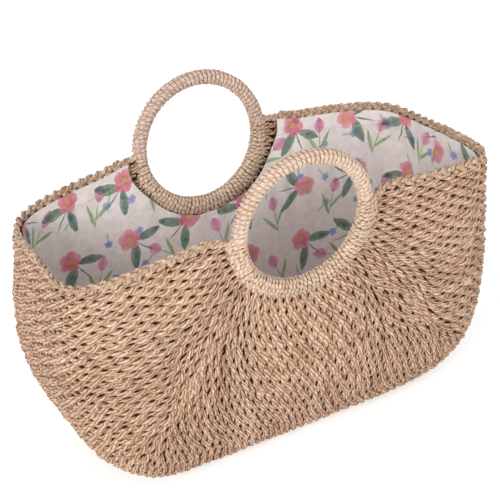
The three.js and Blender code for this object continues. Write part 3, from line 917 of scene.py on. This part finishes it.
def rim_plait(side, front, name, material):
    """Three two-ply strands in a flat plait on edge along the rim, from the ring's binding to the middle of
    the end, over a thin cord that fills its middle."""
    cords = Cords()
    a = (LENGTH - WALL) / 2
    across = (1 - (PLAIT_START / a) ** PLAN_POWER) ** (1 / PLAN_POWER)
    angle = np.linspace(math.atan2(across, PLAIT_START / a), 0, 400)
    p, out = on_surface(np.stack([np.cos(angle), -np.sin(angle), 0 * angle], -1), PLAIT_INSET)
    line = np.stack([side * p[:, 0], p[:, 1], rim_height(p[:, 0]) + PLAIT_RISE], -1)
    out = np.stack([side * out[:, 0], out[:, 1], 0 * angle], -1)
    s = along_of(line)
    tucked = ramp(s, TUCK, 0)[:, None]
    line = line - tucked * [side * TUCK_IN, 0, TUCK_DOWN] + tucked * TUCK_OUT * out
    at = np.linspace(0, s[-1], int(s[-1] / PLAIT_STEP))
    line, out = sampled(at, s, line), unit(sampled(at, s, out))
    period = s[-1] / round(s[-1] / PLAIT_PERIOD)
    chance = np.random.default_rng(51 + side + 3 * front)
    loose = 1 + wandering(chance, at, 12.0, 0.07, 320) * ramp(at, 0, 20)
    opening = ramp(at, 0, 16)                    # the strands start close together
    for strand in range(3):
        phase = 2 * np.pi * (at / period + strand / 3)
        rise = PLAIT_SWING * loose * (0.35 + 0.65 * opening) * np.sin(phase)
        middle = line + [0, 0, 1] * rise[:, None] + out * (PLAIT_DIVE * np.sin(2 * phase))[:, None]
        cords.add_pair(middle * to_panel(front), out * to_panel(front), *PLAIT_PLIES, strand)
    wide, deep = PLAIT_HEART
    cords.add(line * to_panel(front), out * to_panel(front), wide * (0.4 + 0.6 * opening), deep)
    return cords.object(name, material)


# The pieces, and what they move with

# One straw in five tones, each painted darker in the grooves between its plies as their shade: the weave's
# with deep grooves between bleached and brown strands, the plait's a little greyer, the binding's paler, and
# the wraps' palest and smoothest, most of all round the front ring.
weave_straw = straw_material("twisted_straw_cord", ("54351D", "AF8666", "D8B295", "F4DBC2"), groove_relief_and_shade=0.6,
                             depth=1.0, lay=17.0, plies=5, fibre=1.8, strands=11.0)
plait_straw = straw_material("plaited_straw_cord", ("6A4A30", "B29176", "D8BAA1", "ECD6C2"), groove_relief_and_shade=0.4,
                             depth=0.6, lay=9.0)
binding_straw = straw_material("straw_cord_binding", ("856750", "CBAA8F", "E8CDB4", "F3E0CC"), groove_relief_and_shade=0.6,
                               depth=0.7, lay=9.0)
back_wrap_straw = straw_material("straw_cord_round_the_back_ring", ("8E715E", "D0B09D", "E6CDBC", "F2DFD1"),
                                 groove_relief_and_shade=0.5, depth=0.6, lay=9.0)
front_wrap_straw = straw_material("pale_straw_cord_round_the_front_ring",
                                  ("A5846D", "D9BCA4", "EAD2BE", "F4E2D3"), groove_relief_and_shade=0.5, depth=0.6, lay=9.0)
# the dark brown sheet behind the cords is painted shade
inside = painted_shade_sheet_material()
rattan = rattan_material()
cotton = printed_cotton()
sewing_thread = thread_material()


def bends_with(o):
    """Bakes the piece's placement into its mesh."""
    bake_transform(o)


for front in (True, False):
    label = "front" if front else "back"
    side = -1 if front else 1
    for o, hand in zip(weave(front, weave_straw), (-1, 1)):
        bends_with(o)
        if front and hand < 0:
            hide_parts("woven_body")
    for hand, word in ((-1, "left"), (1, "right")):
        # a sheet on the weave's inner side, painted dark brown as the shade between the cords
        grid = wall_grid(hand, INNER_START, flare=0)
        inner = skins_of(grid, INNER_SKINS, INNER_DROP, front, hand,
                         f"weave_inner_side_{label}_{word}", inside)
        bends_with(inner)
        grid = wall_grid(hand, NOTCH_RADIUS, BASE_SEAM - RING_HEIGHT + 0.2)
        lining = skins_of(grid, (LINING_INSET, LINING_INSET + CLOTH), -HEM_RISE, front, hand,
                          f"lining_{label}_{word}", cotton, folds)
        bends_with(lining)
        if hand < 0:
            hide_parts(f"lining_{label}_panel")
        thread = stitches(front, hand, f"hem_stitches_{label}_{word}", sewing_thread)
        bends_with(thread)
        plait = rim_plait(hand, front, f"rim_plait_{label}_{word}", plait_straw)
        bends_with(plait)
        if front:
            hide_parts(f"{word}_rim_plait")
    body = f"{label}_handle"
    wrap = ring_wrap(side, f"{label}_ring_wrapping_cord", front_wrap_straw if front else back_wrap_straw)
    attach(wrap, body)
    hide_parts(f"{label}_ring_wrap")
    binding = ring_binding(side, f"{label}_ring_binding_cords", binding_straw)
    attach(binding, body)
    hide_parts(f"{label}_ring_binding")
    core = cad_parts[f"{label}_ring_core"]
    core.data.materials.clear()
    core.data.materials.append(rattan)

bottom = lining_base("lining_bottom", cotton)
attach(bottom, "basket")
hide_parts("lining_base")

# Floor, light and camera, in metres

FLOOR = 6.0                                  # half its width
IMAGE = 500                                  # width of the picture in pixels
SENSOR = 36.0                                # width of the camera's sensor, mm
FOCAL = 1625.65                              # focal length in pixels
AZIMUTH, ELEVATION, ROLL = -26.83, 30.08, -4.5
DISTANCE = 1.46276
TARGET = Vector((-0.00402, 0, RING_HEIGHT / 1000 - 0.07084))


def seen_white(name, diffuse, glow):
    """A painted studio floor: it takes light and shadow as a pale surface does, and looks whiter to the
    camera. glow is how much whiter."""
    n = Nodes(name, 0.9, 0.0)
    rays = n.add("LightPath")
    seen = n.add("MAXIMUM", rays.outputs["Is Camera Ray"],
                 n.add("MAXIMUM", rays.outputs["Is Glossy Ray"], rays.outputs["Is Transmission Ray"]))
    n.put(n.shader.inputs["Base Color"], linear(diffuse))
    n.put(n.shader.inputs["Emission Color"], linear("FFFFFF"))
    n.put(n.shader.inputs["Emission Strength"], n.add("MULTIPLY", seen, glow))
    return n.material


floor_mesh = bpy.data.meshes.new("floor")
floor_corners = [(-FLOOR, -FLOOR, 0), (FLOOR, -FLOOR, 0), (FLOOR, FLOOR, 0), (-FLOOR, FLOOR, 0)]
floor_mesh.from_pydata(floor_corners, [], [(0, 1, 2, 3)])
floor = bpy.data.objects.new("floor", floor_mesh)
bpy.context.scene.collection.objects.link(floor)
floor.data.materials.append(seen_white("white_studio_floor", "F6F6F6", 0.45))

# The world is white to the camera and lights the basket a little less.
world = bpy.data.worlds.new("studio")
bpy.context.scene.world = world
world.use_nodes = True
tree = world.node_tree
background = tree.nodes["Background"]
background.inputs["Color"].default_value = (1, 1, 1, 1)
rays = tree.nodes.new("ShaderNodeLightPath")
strength = tree.nodes.new("ShaderNodeMapRange")
strength.inputs["To Min"].default_value, strength.inputs["To Max"].default_value = 0.6, 1.0
tree.links.new(rays.outputs["Is Camera Ray"], strength.inputs["Value"])
tree.links.new(strength.outputs["Result"], background.inputs["Strength"])


def light(name, place, aim, size, power):
    """A square lamp of that size and power in watts, turned towards a point."""
    data = bpy.data.lights.new(name, "AREA")
    data.size, data.energy = size, power
    o = bpy.data.objects.new(name, data)
    o.location = place
    o.rotation_mode = "QUATERNION"
    o.rotation_quaternion = (Vector(aim) - Vector(place)).to_track_quat("-Z", "Y")
    bpy.context.scene.collection.objects.link(o)


light("soft_key", (-2.2, -1.5, 1.2), (0, 0, 0.1), 1.1, 46)
light("soft_fill", (1.2, -2.2, 0.9), (0, 0, 0.1), 1.4, 18)

azimuth, elevation, roll = (math.radians(angle) for angle in (AZIMUTH, ELEVATION, ROLL))
level = math.cos(elevation)
back = Vector((math.sin(azimuth) * level, -math.cos(azimuth) * level, math.sin(elevation)))
right = (-back).cross(Vector((0, 0, 1))).normalized()
up = right.cross(-back)
right, up = right * math.cos(roll) + up * math.sin(roll), up * math.cos(roll) - right * math.sin(roll)
camera_data = bpy.data.cameras.new("camera")
camera_data.sensor_width = SENSOR
camera_data.lens = FOCAL / IMAGE * SENSOR
camera_data.clip_start, camera_data.clip_end = 0.05, 20
camera = bpy.data.objects.new("camera", camera_data)
turned = Matrix((right, up, back)).transposed().to_4x4()
camera.matrix_world = Matrix.Translation(TARGET + back * DISTANCE) @ turned
bpy.context.scene.collection.objects.link(camera)
bpy.context.scene.camera = camera
bpy.context.scene.view_settings.view_transform = "Standard"
